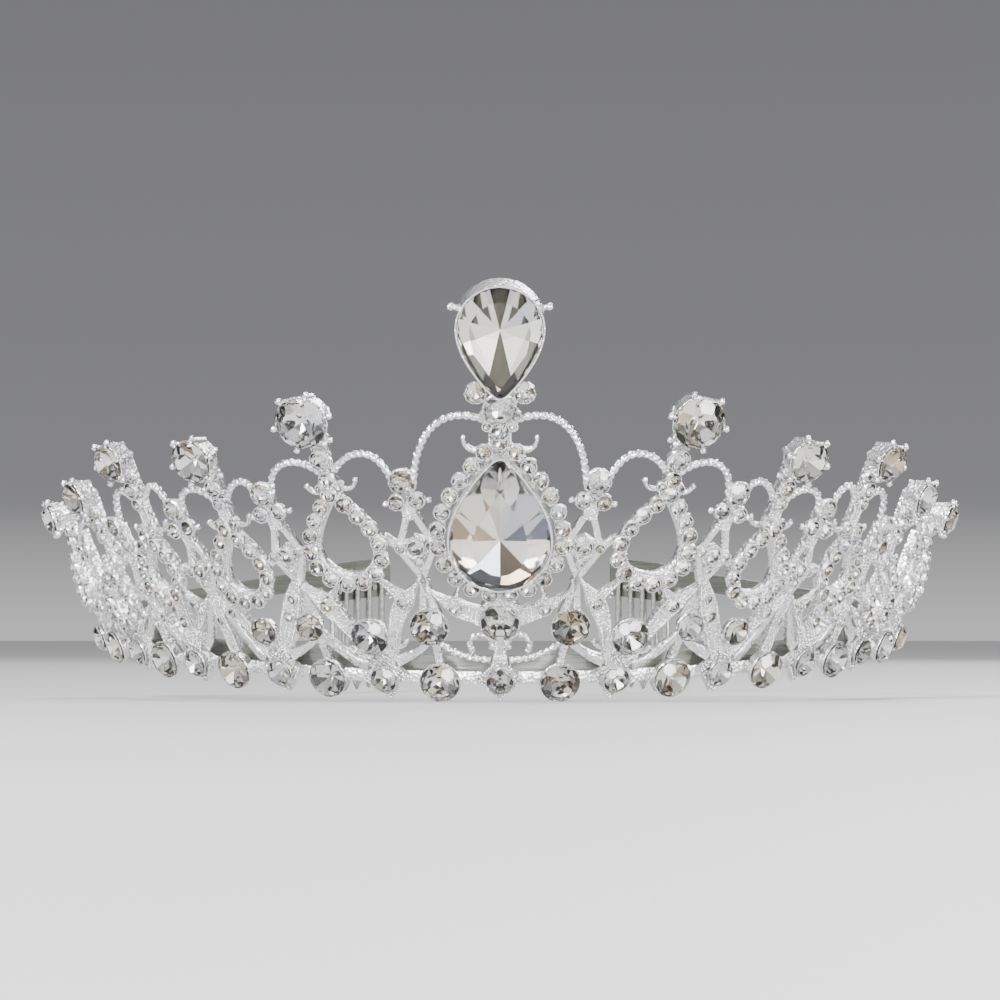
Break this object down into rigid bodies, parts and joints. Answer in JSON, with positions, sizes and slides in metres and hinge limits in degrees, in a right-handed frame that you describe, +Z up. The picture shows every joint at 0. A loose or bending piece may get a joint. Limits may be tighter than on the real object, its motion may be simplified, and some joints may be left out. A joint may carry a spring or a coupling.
{
  "type": "rhinestone tiara crown",
  "caption": "Openwork cast crown front set with round and pear-shaped crystals, on a flat steel headband with a wire comb at each end.",
  "frame": {"origin": "middle of the crown's box, on the surface that it stands on", "axes": "+X to the wearer's left, +Y from the front spires to the combs, +Z up"},
  "size_m": [0.1576, 0.1611, 0.0673],
  "materials": {
    "cast_metal": "bright silver plate over cast metal, granular",
    "strip_steel": "dull grey steel strip",
    "comb_wire": "drawn wire, satin",
    "pear_crystal": "cut and foil-backed",
    "round_crystal": "cut and foil-backed"
  },
  "bodies": {
    "root": {"crown_frame": "cast_metal", "headband": "strip_steel", "comb_left": "comb_wire", "comb_right": "comb_wire", "centre_pear": "pear_crystal", "top_pear": "pear_crystal", "centre_lozenge_stone": "round_crystal", "centre_navette_stone": "round_crystal", "spire_stone_left_1": "round_crystal", "spire_stone_left_2": "round_crystal", "spire_stone_left_3": "round_crystal", "spire_stone_left_4": "round_crystal", "spire_stone_left_5": "round_crystal", "spire_stone_right_1": "round_crystal", "spire_stone_right_2": "round_crystal", "spire_stone_right_3": "round_crystal", "spire_stone_right_4": "round_crystal", "spire_stone_right_5": "round_crystal", "base_stone_left_1": "round_crystal", "base_stone_left_2": "round_crystal", "base_stone_left_3": "round_crystal", "base_stone_left_4": "round_crystal", "base_stone_left_5": "round_crystal", "base_stone_right_1": "round_crystal", "base_stone_right_2": "round_crystal", "base_stone_right_3": "round_crystal", "base_stone_right_4": "round_crystal", "base_stone_right_5": "round_crystal", "lozenge_stone_left_1": "round_crystal", "lozenge_stone_left_2": "round_crystal", "lozenge_stone_left_3": "round_crystal", "lozenge_stone_left_4": "round_crystal", "lozenge_stone_left_5": "round_crystal", "lozenge_stone_right_1": "round_crystal", "lozenge_stone_right_2": "round_crystal", "lozenge_stone_right_3": "round_crystal", "lozenge_stone_right_4": "round_crystal", "lozenge_stone_right_5": "round_crystal", "hollow_stone_left_1": "round_crystal", "hollow_stone_left_2": "round_crystal", "hollow_stone_right_1": "round_crystal", "hollow_stone_right_2": "round_crystal", "link_stone_left_1": "round_crystal", "link_stone_left_2": "round_crystal", "link_stone_right_1": "round_crystal", "link_stone_right_2": "round_crystal"}
  },
  "joints": []
}
